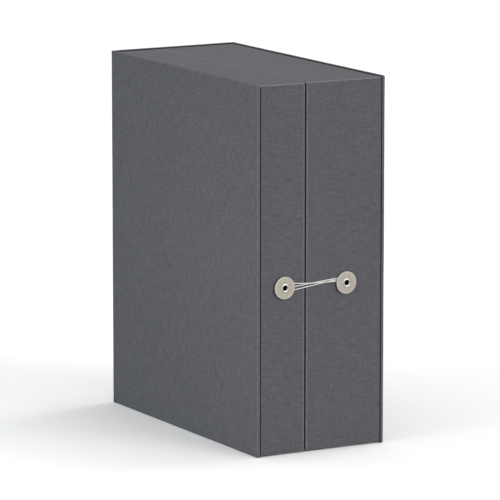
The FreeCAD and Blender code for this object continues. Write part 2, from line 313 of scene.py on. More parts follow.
def bookcloth(name, look, seed, edgeAmount=0.75):
    material, kit, shader = startMaterial(name, look["roughness"], Sheen_Weight=look["sheen"],
                                          Sheen_Roughness=0.45, Specular_IOR_Level=look["specular"])
    cloth = kit.add("UVMap", uv_map="cloth").outputs[0]
    relief, slubs, fibres = useGroup(kit, weaveGroup, Cloth=cloth, Pitch=look["pitch"], Seed=seed)
    place = kit.place()
    wearAndHighlight, shade = useGroup(kit, edgeGroup, Place=place, Amount=edgeAmount)
    tone = kit.plus(kit.times(relief, 0.34), kit.remap(slubs, 0.36, 0.64, 0.0, 0.66))
    tone = kit.plus(tone, kit.times(kit.math("SUBTRACT", fibres, 0.5), 0.22), True)
    colour = kit.mix(tone, look["dark"], look["light"])
    broad = kit.remap(kit.noise(place, 9.0), 0.3, 0.7)  # slow change of tone over a panel
    colour = kit.mix(kit.times(broad, 0.08), colour, look["light"])
    # lighter on turned edges: partly wear, partly a painted highlight
    colour = kit.mix(wearAndHighlight, colour, look["worn"])
    # painted shade: near-black where the mesh marks a narrow gap
    colour = kit.mix(shade, colour, look["deep"])
    rough = kit.remap(fibres, 0.3, 0.7, look["roughness"] - 0.06, look["roughness"] + 0.06)
    height = kit.plus(relief, kit.times(slubs, 0.9))
    kit.drive(shader, Base_Color=colour, Roughness=rough, Normal=kit.bump(height, look["relief"], 0.8))
    return material


def paper(name, base, dark, seed, fleck=0.35, roughness=0.82, wearAndHighlight=0.5, relief=0.00003):
    material, kit, shader = startMaterial(name, roughness, Specular_IOR_Level=0.3)
    place = kit.place()
    patches, specks, grain = useGroup(kit, mottleGroup, Place=place, Patch=0.022, Speck=0.0005, Seed=seed)
    worn, _ = useGroup(kit, edgeGroup, Place=place, Amount=wearAndHighlight)
    tone = kit.plus(kit.remap(patches, 0.3, 0.7, 0.2, 0.4), kit.times(grain, 0.5), True)
    colour = kit.mix(tone, dark, base)
    colour = kit.mix(kit.times(specks, fleck * 0.3), colour, dark)
    bright = tuple(min(1.0, c * 1.12) for c in base)
    # lighter at the edges: partly wear, partly a painted highlight
    colour = kit.mix(worn, colour, bright)
    rough = kit.remap(grain, 0.2, 0.8, roughness - 0.07, roughness + 0.07)
    kit.drive(shader, Base_Color=colour, Roughness=rough, Normal=kit.bump(grain, relief, 0.7))
    return material


fibreLook = {
    "base": (0.500, 0.455, 0.375),
    "dark": (0.370, 0.335, 0.265),
    "rim": (0.760, 0.730, 0.650),
    "roughness": 0.62,
}


def vulcanisedFibre(name, look):
    # pressed fibre disc: faint calender streaks, specks, and a paler rim, partly the cut edge's own colour
    # and partly a painted highlight
    material, kit, shader = startMaterial(name, look["roughness"])
    place = kit.place()
    patches, specks, grain = useGroup(kit, mottleGroup, Place=place, Patch=0.004, Speck=0.00035, Seed=4.0)
    wearAndHighlight, _ = useGroup(kit, edgeGroup, Place=place, Amount=0.85, Break=500.0)
    x, _, z = kit.split(place)
    streak = kit.noise(kit.combine(kit.times(x, 900.0), 0.0, kit.times(z, 120.0)), 1.0, 3.0)
    tone = kit.plus(kit.times(patches, 0.55), kit.times(streak, 0.5))
    colour = kit.mix(kit.remap(tone, 0.25, 0.75), look["dark"], look["base"])
    colour = kit.mix(kit.times(specks, 0.22), colour, look["rim"])
    colour = kit.mix(wearAndHighlight, colour, look["rim"])
    kit.drive(shader, Base_Color=colour, Normal=kit.bump(grain, 0.00003, 0.8))
    return material


def nickel(name):
    # plated eyelet with turning marks and a little tarnish
    material, kit, shader = startMaterial(name, 0.24, Specular_IOR_Level=0.0)
    patches, _, grain = useGroup(kit, mottleGroup, Place=kit.place(), Patch=0.002, Speck=0.00012, Seed=9.0)
    colour = kit.mix(kit.remap(patches, 0.4, 0.75, 0.0, 0.6),
                     (0.80, 0.79, 0.76), (0.52, 0.49, 0.44))
    # painted shade: the bore, past the seat, is near-black and not metallic
    bore = kit.marked("crease")
    colour = kit.mix(bore, colour, (0.006, 0.006, 0.006))
    kit.drive(shader, Base_Color=colour, Metallic=kit.math("SUBTRACT", 1.0, bore),
              Roughness=kit.remap(grain, 0.3, 0.7, 0.18, 0.38), Normal=kit.bump(grain, 0.00001, 0.5))
    return material


def twine(name):
    # waxed cotton: fibres lie along each ply; painted shade darkens the side of each ply that turns in
    # towards the other
    material, kit, shader = startMaterial(name, 0.6, Sheen_Weight=0.25)
    place = kit.add("UVMap", uv_map="cloth").outputs[0]
    u, v, _ = kit.split(place)
    fibres = kit.noise(kit.combine(kit.times(u, 9000.0), kit.times(v, 900.0)), 1.0, 3.0, 0.6)
    paintedPlyShade = kit.marked("edge")
    colour = kit.mix(kit.remap(fibres, 0.3, 0.7),
                     (0.78, 0.765, 0.72), (0.95, 0.94, 0.91))
    colour = kit.mix(kit.times(paintedPlyShade, 0.8), colour, (0.26, 0.24, 0.20))
    kit.drive(shader, Base_Color=colour, Normal=kit.bump(fibres, 0.00004, 0.8))
    return material


finishes = {
    "coverCloth": bookcloth("coverCloth", coverLook, 1.0, 0.35),
    "trayCloth": bookcloth("trayCloth", clothLook, 5.0, 0.75),
    "pullTape": bookcloth("pullTape", dict(clothLook, pitch=0.0007, relief=0.00012), 9.0, 0.4),
    "greyboard": paper("greyboard", (0.40, 0.38, 0.35), (0.27, 0.255, 0.23), 2.0, 0.9, 0.9),
    "liningPaper": paper("liningPaper", (0.62, 0.61, 0.58), (0.50, 0.49, 0.46), 3.0),
    "drawerPaper": paper("drawerPaper", (0.58, 0.56, 0.52), (0.46, 0.44, 0.40), 6.0, 0.5),
    "labelCard": paper("labelCard", (0.82, 0.80, 0.74), (0.72, 0.70, 0.63), 7.0, 0.1, 0.7),
    "folderCard": paper("folderCard", (0.74, 0.68, 0.56), (0.63, 0.57, 0.45), 8.0, 0.4, 0.75),
    "buttonFibre": vulcanisedFibre("buttonFibre", fibreLook),
    "washerFibre": paper("washerFibre", (0.33, 0.29, 0.23), (0.22, 0.19, 0.15), 11.0, 0.8, 0.85),
    "eyeletMetal": nickel("eyeletMetal"),
    "waxedString": twine("waxedString"),
}
print("materials made:", len(finishes))


# mesh helpers
def makePiece(name, verts, faces, finish, uvs, edge, crease=None, smooth=True):
    mesh = bpy.data.meshes.new(name)
    mesh.from_pydata([tuple(v) for v in verts], [], [tuple(f) for f in faces])
    layer = mesh.uv_layers.new(name="cloth")
    layer.data.foreach_set("uv", np.asarray(uvs, float).ravel())
    for title, given in (("edge", edge), ("crease", crease)):
        values = np.zeros(len(verts)) if given is None else given
        attribute = mesh.attributes.new(title, "FLOAT", "POINT")
        attribute.data.foreach_set("value", np.asarray(values, np.float32))
    mesh.polygons.foreach_set("use_smooth", [smooth] * len(mesh.polygons))
    mesh.materials.append(finishes[finish])
    mesh.update()
    piece = addObject(name, mesh)
    return piece


def quarter(k, steps=4):
    # how far step k of a quarter turn has gone, across and along, as shares of its radius
    a = math.pi / 2 * k / steps
    return 1 - math.cos(a), 1 - math.sin(a)


def quad(count, r, c):
    # face between two neighbouring rows of points, each row a closed ring
    d = (c + 1) % count
    return (r * count + c, r * count + d, (r + 1) * count + d, (r + 1) * count + c)


def stops(low, high, radius, step, arcSteps):
    # places along one side of a rounded block: close together on the rounding, wide apart on the flat
    places = [low + radius * quarter(k, arcSteps)[0] for k in range(arcSteps + 1)]
    flat = (high - radius) - (low + radius)
    support = min(radius * 0.8, flat / 4)
    inner = np.linspace(low + radius + support, high - radius - support, max(2, int(flat / step) + 1))
    mirrored = [low + high - p for p in reversed(places)]
    return np.array(places + list(inner) + mirrored)


def roundBlock(low, high, radius, step, wave=0.0, seed=0.0, arcSteps=4):
    # rounded block as (verts, faces, uvs, edge)
    low, high = np.array(low, float), np.array(high, float)
    cuts = [stops(low[i], high[i], radius, step, arcSteps) for i in range(3)]
    verts, faces, uvs, index = [], [], [], {}

    def vertex(a, b):
        point = np.insert((a, b), axis, level)
        key = tuple(point.round(7))
        if key not in index:
            index[key] = len(verts)
            verts.append(point)
        return index[key], (a, b)

    for axis, (u, v) in enumerate(((1, 2), (0, 2), (0, 1))):
        for side in (0, 1):
            level = (low, high)[side][axis]
            grid = [[vertex(a, b) for b in cuts[v]] for a in cuts[u]]
            turn = -1 if (side == 1) == (axis == 1) else 1
            for i in range(len(grid) - 1):
                for j in range(len(grid[0]) - 1):
                    ring = [grid[i][j], grid[i + 1][j], grid[i + 1][j + 1], grid[i][j + 1]][::turn]
                    faces.append([c[0] for c in ring])
                    uvs.extend(c[1] for c in ring)
    points = np.array(verts)
    core = np.clip(points, low + radius, high - radius)
    away = points - core
    length = np.linalg.norm(away, axis=1)
    sides = (np.abs(away) > 1e-9).sum(axis=1)
    edge = np.clip(sides - 1.0, 0.0, 1.0)  # on a rounding, not on a flat
    direction = away / np.maximum(length, 1e-12)[:, None]
    points = core + direction * radius
    if wave:
        for k, p in enumerate(points):
            # cloth over board is never quite flat
            rise = noise.noise(Vector(p * 14.0) + Vector((seed, 0, 0)))
            rise += 0.5 * noise.noise(Vector(p * 45.0) + Vector((0, seed, 0)))
            points[k] = p + direction[k] * rise * wave
        points[:, 2] = np.maximum(points[:, 2], low[2])  # nothing swells into the surface below
    return points, faces, uvs, edge


def block(name, low, high, radius, finish, slotName, paintedShadeAt=None, **shape):
    points, faces, uvs, edge = roundBlock(low, high, radius, **shape)
    crease = None if paintedShadeAt is None else [paintedShadeAt(p) for p in points]
    return makePiece(name, points, faces, finish, uvs, edge, crease)


def loopPoints(a0, a1, b0, b1, radius, counts, arcSteps=4):
    # a rounded rectangle in two coordinates, with as many points on every loop of a skin;
    # the third number says whether the point lies on a rounding
    radius = max(radius, 0.00005)
    full, arcs = [], []
    for a, b, start in ((a1, b0, -90), (a1, b1, 0), (a0, b1, 90), (a0, b0, 180)):
        ca = a + (radius if a == a0 else -radius)
        cb = b + (radius if b == b0 else -radius)
        turns = [math.radians(start + 90 * s / arcSteps) for s in range(arcSteps + 1)]
        arcs.append([(ca + radius * math.cos(t), cb + radius * math.sin(t)) for t in turns])
    for k in range(4):
        end, following = arcs[k][-1], arcs[(k + 1) % 4][0]
        for place, point in enumerate(arcs[k]):
            full.append((*point, 1.0 if 0 < place < arcSteps else 0.0))
        span = max(math.dist(end, following), 0.004)
        for s in range(1, counts[k]):
            # a support row sits close to each corner, the rest are even
            t = {1: 0.001 / span, counts[k] - 1: 1 - 0.001 / span}.get(s, s / counts[k])
            full.append((end[0] + (following[0] - end[0]) * t, end[1] + (following[1] - end[1]) * t, 0.0))
    return full


def skin(name, rows, finish, capFirst=False, capLast=False, wave=0.0, seed=0.0):
    # joins loops of (point, edge) or (point, edge, painted shade) into a sleeve; the cloth's own
    # coordinates run round and along it
    count = len(rows[0])
    verts = [item[0] for row in rows for item in row]
    edge = [item[1] for row in rows for item in row]
    crease = [item[2] if len(item) > 2 else 0.0 for row in rows for item in row]
    around, along = [0.0], [0.0]
    for c in range(count):
        around.append(around[-1] + math.dist(rows[0][c][0], rows[0][(c + 1) % count][0]))
    for r in range(1, len(rows)):
        along.append(along[-1] + math.dist(rows[r][0][0], rows[r - 1][0][0]))
    faces, uvs = [], []
    for r in range(len(rows) - 1):
        for c in range(count):
            faces.append(quad(count, r, c))
            uvs += [(around[c], along[r]), (around[c + 1], along[r]),
                    (around[c + 1], along[r + 1]), (around[c], along[r + 1])]
    for capped, r in ((capFirst, 0), (capLast, len(rows) - 1)):
        if capped:
            ring = [r * count + c for c in range(count)]
            faces.append(ring[::-1] if r == 0 else ring)
            uvs += [(verts[i][0] + verts[i][2], verts[i][1]) for i in faces[-1]]
    if wave:
        verts = [swell(Vector(p), seed, wave) for p in verts]
    return fixNormals(makePiece(name, verts, faces, finish, uvs, edge, crease))


def swell(point, seed, amount):
    # moves a point a little, the same way for points that lie close together
    shift = Vector((seed, seed * 0.7, 0.0))
    return point + amount * noise.noise_vector(point * 16.0 + shift)


def acrossX(a, b, depth):
    return depth, a, b


def plate(name, outline, start, end, bevel, finish, slotName, plane=acrossX):
    # flat sheet with an outline in two coordinates and softened edges; plane maps (a, b, depth) to a point
    count = len(outline)
    inward = []
    for k in range(count):
        before, here, after = (Vector(outline[(k + s) % count]) for s in (-1, 0, 1))
        side = (here - before).normalized() + (after - here).normalized()
        side = side.normalized() if side.length > 1e-6 else Vector((1, 0))
        inward.append(Vector((-side.y, side.x)))
    depths = [(start, bevel, 0.0), (start + bevel, 0.0, 1.0), (end - bevel, 0.0, 1.0), (end, bevel, 0.0)]
    verts, edge = [], []
    for depth, inset, worn in depths:
        for point, turn in zip(outline, inward):
            verts.append(plane(point[0] + turn.x * inset, point[1] + turn.y * inset, depth))
            edge.append(worn)
    faces = [tuple(range(count))[::-1]]
    for r in range(3):
        faces += [quad(count, r, c) for c in range(count)]
    faces.append(tuple(3 * count + c for c in range(count)))
    flat = [outline[i % count] for f in faces for i in f]
    return fixNormals(makePiece(name, verts, faces, finish, flat, edge, smooth=False))


def fixNormals(piece):
    # every face looks outwards
    shape = bmesh.new()
    shape.from_mesh(piece.data)
    bmesh.ops.recalc_face_normals(shape, faces=shape.faces)
    shape.to_mesh(piece.data)
    shape.free()
    return piece


def arc(centreA, centreB, radius, fromAngle, toAngle, steps):
    turns = [math.radians(fromAngle + (toAngle - fromAngle) * k / steps) for k in range(steps + 1)]
    return [(centreA + radius * math.cos(t), centreB + radius * math.sin(t)) for t in turns]


def turned(name, profile, centre, finish, segments=64, paintedShadeAt=None):
    # lathe-turned piece about the Y axis through centre (x, z); profile rows are (radius, y, edge)
    verts, faces, uvs, edge, crease = [], [], [], [], []
    rows = len(profile)
    for s in range(segments):
        a = 2 * math.pi * s / segments
        for radius, y, worn in profile:
            verts.append((centre[0] + radius * math.cos(a), y, centre[1] + radius * math.sin(a)))
            edge.append(worn)
            crease.append(paintedShadeAt(radius, y) if paintedShadeAt else 0.0)
    for s in range(segments):
        t = (s + 1) % segments
        for r in range(rows):
            q = (r + 1) % rows
            faces.append((s * rows + r, t * rows + r, t * rows + q, s * rows + q))
            uvs += [(profile[r][0], s / segments)] * 4
    return fixNormals(makePiece(name, verts, faces, finish, uvs, edge, crease))


# sizes read from the frame
def corners(node):
    low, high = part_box(node)
    return Vector(low), Vector(high)


def middleOf(node):
    # in X and Z
    low, high = corners(node)
    return (low.x + high.x) / 2, (low.z + high.z) / 2


rightCover, leftCover, spine = (corners(n + "_cloth") for n in ("right_cover", "left_cover", "spine"))
wideTray, narrowTray = corners("wide_tray_cloth"), corners("narrow_tray_cloth")
boardWall = corners("wide_tray_front_wall")
edgeRadius = 1.2 * mm
clothThickness = boardWall[0].y - wideTray[0].y
wallThickness = boardWall[1].y - boardWall[0].y + 2 * clothThickness
root, lid = "wide_half", "narrow_half"


# case: two covers, spine and the cloth hinge
case = {
    "wave": 0.10 * mm,  # how far the cloth strays from flat
    "step": 12 * mm,
    "shadeDepth": 0.2 * mm, # how far the painted shade in a margin comes round a panel's inner edge
    "hingeLift": 0.06 * mm, # hinge cloth over the cover and the spine
    "hingeRows": 40,
    "hingeThickness": 0.3 * mm,
    "hingeBend": 2.2 * mm,  # how far each side of the corner the cloth bends
}


def makeCase():
    # each panel with the side that faces the trays: axis, and whether that is its high side
    panels = (("rightCoverCloth", rightCover, "right_cover_cloth", root, 1.0, 0, False),
              ("leftCoverCloth", leftCover, "left_cover_cloth", lid, 4.0, 0, True),
              ("spineCloth", spine, "spine_cloth", root, 8.0, 1, False))
    for name, (low, high), node, body, seed, axis, facesUp in panels:
        def inShade(point):
            # painted shade: only the margin past the trays shows, and little light gets there, so it is
            # painted near-black
            deep = (high[axis] - point[axis]) if facesUp else (point[axis] - low[axis])
            margin = axis == 0 or not 6 * mm < point[2] < high[2] - 6 * mm
            return min(1.0, max(0.0, 1.1 - deep / case["shadeDepth"])) if margin else 0.0

        piece = block(name, low, high, edgeRadius, "coverCloth", "bookcloth", paintedShadeAt=inShade,
                      step=case["step"], wave=case["wave"], seed=seed)
        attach(piece, body)
        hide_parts(node)


def makeHingeCloth():
    # L-shaped strip round the outer left rear corner, bent along the joint between the two bodies
    low, high = corners("hinge_cloth")
    lift, thickness, bend = case["hingeLift"], case["hingeThickness"], case["hingeBend"]
    left, rear = low.x - lift, high.y + lift
    radius = edgeRadius
    path = [(left + thickness * 1.4, low.y), (left, low.y + 0.6 * mm), (left, low.y + 3 * mm),
            (left, rear - radius - 1.5 * mm)]
    path += arc(left + radius, rear - radius, radius, 180, 90, 8)
    path += [(left + radius + 1.5 * mm, rear), (high.x - 3 * mm, rear), (high.x - 0.6 * mm, rear),
             (high.x, rear - thickness * 1.4)]
    inner = []
    for x, y in path:
        x, y = x + thickness if y < rear - radius else x, y - thickness if x > left + radius else y
        inner.append((max(x, left + thickness), min(y, rear - thickness)))
    lengths = np.concatenate([[0.0], np.cumsum([math.dist(a, b) for a, b in zip(path, path[1:])])])
    heights = np.linspace(low.z + 0.4 * mm, high.z - 0.4 * mm, case["hingeRows"])
    loop = path + inner[::-1]
    along = list(lengths) + list(lengths[::-1])
    count = len(loop)
    verts, faces, uvs = [(x, y, z) for z in heights for x, y in loop], [], []
    for r in range(len(heights) - 1):
        for c in range(count):
            faces.append(quad(count, r, c))
            uvs += [(low.y + along[i % count], heights[i // count]) for i in faces[-1]]
    for r in (0, len(heights) - 1):
        faces.append([r * count + c for c in range(count)])
        uvs += [(low.y + k, heights[r]) for k in along]
    edge = [1.0 if left < x < left + radius and y > rear - radius else 0.0 for x, y in loop] * len(heights)
    piece = fixNormals(makePiece("hingeCloth", verts, faces, "coverCloth", uvs, edge))
    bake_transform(piece)
    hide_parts("hinge_cloth")


makeCase()
makeHingeCloth()
print("case made")


# trays: cloth over the four walls, paper lining inside
tray = {
    "wave": 0.09 * mm,
    "turnIn": 12 * mm,
    "counts": (24, 34, 24, 34),  # points between the corners: bottom, rear, top and front
    # how dark the painted shade on the tray's front gets
    "shade": 0.85,
    "wideShade": 0.3 * mm,  # painted shade on the front beside each cover, by tray
    "narrowShade": 1.6 * mm,
    "turnWear": (0.75, 1.0, 0.6, 0.2, 0.1),  # edge wear and painted highlight round the rim's edge, from the outer face to the rim
    # painted shade on the same rows, darkest where the rim turns into the gap between the trays
    "turnShade": (0.0, 0.0, 0.35, 0.8, 1.0),
    "rimWear": (0.3, 0.3, 0.8, 0.8, 0.8),  # and from the rim to the inner face
    # painted shade on the rim's face, which faces the other tray, fading towards the inner face
    "rimShade": (1.0, 0.8, 0.4, 0.0, 0.0),
    "liningStart": 9 * mm,  # the lining lies over the raw edge of the turned-in cloth
    "liningThickness": 0.12 * mm,
}


def traySkin(name, low, high, rim, cover, body, node, seed, shadeWidth):
    inward = 1 if cover > rim else -1
    radius, wall = edgeRadius, wallThickness
    depth = abs(cover - rim)
    # rows are (distance from the rim, inset, edge wear and painted highlight, painted shade on the front)
    profile = [(depth, 0.0, 0.0, 1.0), (depth - shadeWidth, 0.0, 0.0, 0.9),
               (depth - shadeWidth * 1.5, 0.0, 0.1, 0.0)]
    profile += [(t, 0.0, 0.0, 0.0) for t in np.linspace(depth - 10 * mm, radius * 2.4, 8)]
    profile.append((radius * 1.5, 0.0, 0.35, 0.0))
    turns = [quarter(k) for k in range(5)]
    for (across, along), worn, shade in zip(turns, tray["turnWear"], tray["turnShade"]):
        profile.append((radius * along, radius * across, worn, shade))
    for (across, along), worn, shade in zip(turns, tray["rimWear"], tray["rimShade"]):
        profile.append((radius * across, wall - radius * along, worn, shade))
    turn = tray["turnIn"]
    profile += [(radius * 1.8, wall, 0.0, 0.0), (turn - 0.2 * mm, wall, 0.0, 0.0),
                (turn, wall - 0.15 * mm, 0.3, 0.0), (turn, wall - clothThickness, 0.0, 0.0)]
    rows = []
    for t, inset, worn, shade in profile:
        loop = loopPoints(low.y + inset, high.y - inset, low.z + inset, high.z - inset,
                          radius - inset if inset < radius else 0.25 * mm, tray["counts"])
        x = rim + inward * t
        row = []
        for a, b, e in loop:
            onFront = a < low.y + inset + 0.5 * radius and e == 0.0
            wearAndHighlight = max(worn, e if inset < radius else 0.0)
            row.append(((x, a, b), wearAndHighlight, shade * tray["shade"] if onFront else 0.0))
        rows.append(row)
    piece = skin(name, rows, "trayCloth", wave=tray["wave"], seed=seed)
    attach(piece, body)
    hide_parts(node)


def trayLining(name, low, high, rim, cover, body, seed):
    inward = 1 if cover > rim else -1
    wall, thick, start = wallThickness, tray["liningThickness"], tray["liningStart"]
    bare = wall - clothThickness
    depth = abs(cover - rim) - 1.6 * mm
    turn = tray["turnIn"]
    profile = [(start, wall - 0.05 * mm, 0.6), (start, wall + thick * 0.6, 0.6),
               (start + 0.3 * mm, wall + thick, 0.2), (turn, wall + thick, 0.0),
               (turn + 2 * mm, bare + thick, 0.0)]
    profile += [(t, bare + thick, 0.0) for t in np.linspace(turn + 8 * mm, depth - 0.5 * mm, 4)]
    profile += [(depth - thick, bare + thick * 1.4, 0.0), (depth - thick, bare + 3 * thick, 0.0)]
    rows = []
    for t, inset, worn in profile:
        loop = loopPoints(low.y + inset, high.y - inset, low.z + inset, high.z - inset, 0.4 * mm,
                          tray["counts"])
        rows.append([((rim + inward * t, a, b), worn) for a, b, _ in loop])
    piece = skin(name, rows, "liningPaper", capLast=True, wave=0.02 * mm, seed=seed)
    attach(piece, body)


def makeTrays():
    low, high = wideTray
    traySkin("wideTrayCloth", low, high, low.x, high.x, root, "wide_tray_cloth", 2.0, tray["wideShade"])
    trayLining("wideTrayLining", low, high, low.x, high.x, root, 3.0)
    low, high = narrowTray
    traySkin("narrowTrayCloth", low, high, high.x, low.x, lid, "narrow_tray_cloth", 6.0,
             tray["narrowShade"])
    trayLining("narrowTrayLining", low, high, high.x, low.x, lid, 7.0)


makeTrays()
print("trays made")


# shelves and dividers
def makeShelves():
    for node in sorted(nodes):
        if node.startswith(("shelf_", "divider_")):
            low, high = corners(node)
            piece = block(node.replace("_", "") + "Paper", low, high, 0.45 * mm, "liningPaper",
                          "lining_paper", step=30 * mm, wave=0.03 * mm, seed=float(len(node)), arcSteps=3)
            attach(piece, root)
            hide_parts(node)


makeShelves()


# drawers: paper-covered board, blank label, cloth pull
drawer = {
    "wall": 1.6 * mm,
    "radius": 0.7 * mm,
    "turnIn": 10 * mm,  # covering paper turned over the rim
    "labelWidth": 46 * mm,
    "labelHeight": 13 * mm,
    "labelCorner": 1.2 * mm,
    "labelOver": 9 * mm,  # label's middle over the pull
    "tapeThickness": 0.35 * mm,
    "loopEnd": 0.75 * mm,  # half the height of the pull's open end
}


def drawerShell(number, low, high, body):
    wall, radius = drawer["wall"], drawer["radius"]
    counts = (6, 10, 6, 10)
    height = high.z - low.z
    profile = [(0.0, radius, 0.3)]
    for k in range(1, 4):
        across, along = quarter(k, 3)
        profile.append((radius * across, radius * along, 1.0 if k < 3 else 0.2))
    profile += [(t, 0.0, 0.0) for t in np.linspace(radius * 2, height - radius * 2, 4)]
    for k in range(9):
        a = math.pi * k / 8
        profile.append((height - wall / 2 * (1 - math.sin(a)), wall / 2 * (1 - math.cos(a)), 0.9))
    profile += [(height - radius * 3, wall, 0.1), (height - drawer["turnIn"], wall, 0.2),
                (height - drawer["turnIn"] - 0.3 * mm, wall - 0.12 * mm, 0.0),
                (wall + 1.0 * mm, wall - 0.12 * mm, 0.0), (wall, wall, 0.0)]
    rows = []
    for t, inset, worn in profile:
        inside = inset > wall / 2
        loop = loopPoints(low.x + inset, high.x - inset, low.y + inset, high.y - inset,
                          max(radius - inset, 0.2 * mm) if not inside else 0.25 * mm, counts)
        rows.append([((a, b, low.z + t), max(worn, 0.0 if inside else 0.7 * e)) for a, b, e in loop])
    piece = skin("drawer%dShell" % number, rows, "drawerPaper", capFirst=True,
                 capLast=True, wave=0.05 * mm, seed=float(number))
    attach(piece, body)
    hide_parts("drawer_%d" % number)


def drawerLabel(number, low, high, body):
    halfWidth, halfHeight = drawer["labelWidth"] / 2, drawer["labelHeight"] / 2
    y, z = (low.y + high.y) / 2, (low.z + high.z) / 2 + drawer["labelOver"]
    loop = loopPoints(y - halfWidth, y + halfWidth, z - halfHeight, z + halfHeight,
                      drawer["labelCorner"], (1, 1, 1, 1))
    face = low.x - 0.1 * mm
    piece = plate("drawer%dLabel" % number, [(a, b) for a, b, _ in loop], -0.1 * mm, 0.2 * mm,
                  0.06 * mm, "labelCard", "drawer_paper", lambda a, b, depth: (face - depth, a, b))
    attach(piece, body)


def drawerPull(number, body):
    # tape folded into a flat loop, a little wider open at its end, its two ends lying flat together at the
    # drawer front
    low, high = corners("drawer_%d_pull" % number)
    thick = drawer["tapeThickness"]
    middle = (low.z + high.z) / 2
    reach = high.x - low.x
    loopEnd = drawer["loopEnd"]
    outer = [(high.x + 0.2 * mm, thick), (high.x - 1.0 * mm, thick), (high.x - reach * 0.55, thick * 1.15)]
    outer += [(high.x - reach * 0.8, loopEnd)]
    outer += [(low.x + loopEnd + loopEnd * math.cos(t), loopEnd * math.sin(t) * 1.05)
              for t in np.linspace(math.radians(100), math.radians(180), 5)]
    outer += [(x, -z) for x, z in outer[-2::-1]]
    normalPath = []
    for k, (x, z) in enumerate(outer):
        before, after = outer[max(k - 1, 0)], outer[min(k + 1, len(outer) - 1)]
        tangent = Vector((after[0] - before[0], after[1] - before[1])).normalized()
        normalPath.append((x - tangent.y * thick, z + tangent.x * thick))
    section = outer + normalPath[::-1]
    widths = [low.y, low.y + 0.3 * mm] + list(np.linspace(low.y + 1.2 * mm, high.y - 1.2 * mm, 8))
    widths += [high.y - 0.3 * mm, high.y]
    rows = []
    for y in widths:
        curl = 0.12 * mm * math.sin((y - low.y) * 400.0 + number)
        rows.append([((x, y, middle + z + curl * min(1.0, (high.x - x) / reach)), 0.15)
                     for x, z in section])
    piece = skin("drawer%dPull" % number, rows, "pullTape", capFirst=True, capLast=True)
    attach(piece, body)
    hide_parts("drawer_%d_pull" % number)


def makeDrawers():
    number = 1
    while "drawer_%d" % number in nodes:
        low, high = corners("drawer_%d" % number)
        body = "drawer_%d_body" % number
        drawerShell(number, low, high, body)
        drawerLabel(number, low, high, body)
        drawerPull(number, body)
        number += 1
    print("drawers made:", number - 1)


makeDrawers()


# folders and the pocket that holds them
folder = {
    "leaf": 0.45 * mm,
    "corner": 6 * mm,
    "tabWidth": 46 * mm,
    "tabHeight": 12 * mm,
    "tabCorner": 4 * mm,
    "labelInset": 4 * mm,
    "notch": 16 * mm,  # half-round notch in the pocket's top edge
}


def tabSpan(low, high, tabStart):
    # the tab keeps clear of the leaf's rounded corners
    clear = folder["corner"] * 1.05
    return max(tabStart, low.y + clear), min(tabStart + folder["tabWidth"], high.y - clear)


def folderOutline(low, high, tabStart=None):
    corner, top = folder["corner"], high.z - folder["tabHeight"]
    outline = [(low.y, low.z), (high.y, low.z)]
    outline += arc(high.y - corner, top - corner, corner, 0, 90, 6)
    if tabStart is not None:
        (start, end), r = tabSpan(low, high, tabStart), folder["tabCorner"]
        outline += [(end, top)] + arc(end - r, high.z - r, r, 0, 90, 6)
        outline += arc(start + r, high.z - r, r, 90, 180, 6) + [(start, top)]
    outline += arc(low.y + corner, top - corner, corner, 90, 180, 6)
    return outline


def makeFolders():
    count = sum(1 for n in nodes if n.startswith("folder_"))
    for number in range(1, count + 1):
        node, body = "folder_%d" % number, "folder_%d_body" % number
        low, high = corners(node)
        span = high.y - low.y - folder["tabWidth"]
        tabStart = low.y + span * (number - 1) / (count - 1)
        leaf, card = folder["leaf"], ("folderCard", "folder_card")
        back = plate("folder%dBack" % number, folderOutline(low, high, tabStart), low.x, low.x + leaf,
                     0.08 * mm, *card)
        front = plate("folder%dFront" % number, folderOutline(low, high), high.x - leaf, high.x,
                      0.08 * mm, *card)
        fold = block("folder%dFold" % number, (low.x, low.y, low.z), (high.x, high.y, low.z + 1.2 * mm),
                     0.5 * mm, *card, step=40 * mm, arcSteps=3)
        start, end = tabSpan(low, high, tabStart)
        y0, y1 = start + folder["labelInset"], end - folder["labelInset"]
        z0, z1 = high.z - folder["tabHeight"] + 1.5 * mm, high.z - 2.5 * mm
        label = plate("folder%dLabel" % number, [(y0, z0), (y1, z0), (y1, z1), (y0, z1)], low.x + leaf,
                      low.x + leaf + 0.12 * mm, 0.03 * mm, "labelCard", "folder_card")
        for piece in (back, front, fold, label):
            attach(piece, body)
        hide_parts(node)


def makePocket():
    low, high = corners("document_pocket")
    middle, notch = (low.y + high.y) / 2, folder["notch"]
    outline = [(low.y, low.z), (high.y, low.z), (high.y, high.z), (middle + notch + 2 * mm, high.z)]
    outline += arc(middle, high.z, notch, 0, -180, 24)
    outline += [(middle - notch - 2 * mm, high.z), (low.y, high.z)]
    piece = plate("pocketFront", outline, low.x, high.x, 0.3 * mm, "liningPaper", "lining_paper")
    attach(piece, lid)
    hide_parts("document_pocket")


makeFolders()
makePocket()
print("folders and pocket made")


# buttons
button = {
    "edgeRadius": 0.38 * mm,
    "discBore": 3.38 * mm,
    "flangeRadius": 4.6 * mm,
    "boreRadius": 2.85 * mm,
    "roll": 0.55 * mm,  # height of the rolled flange over the disc
}


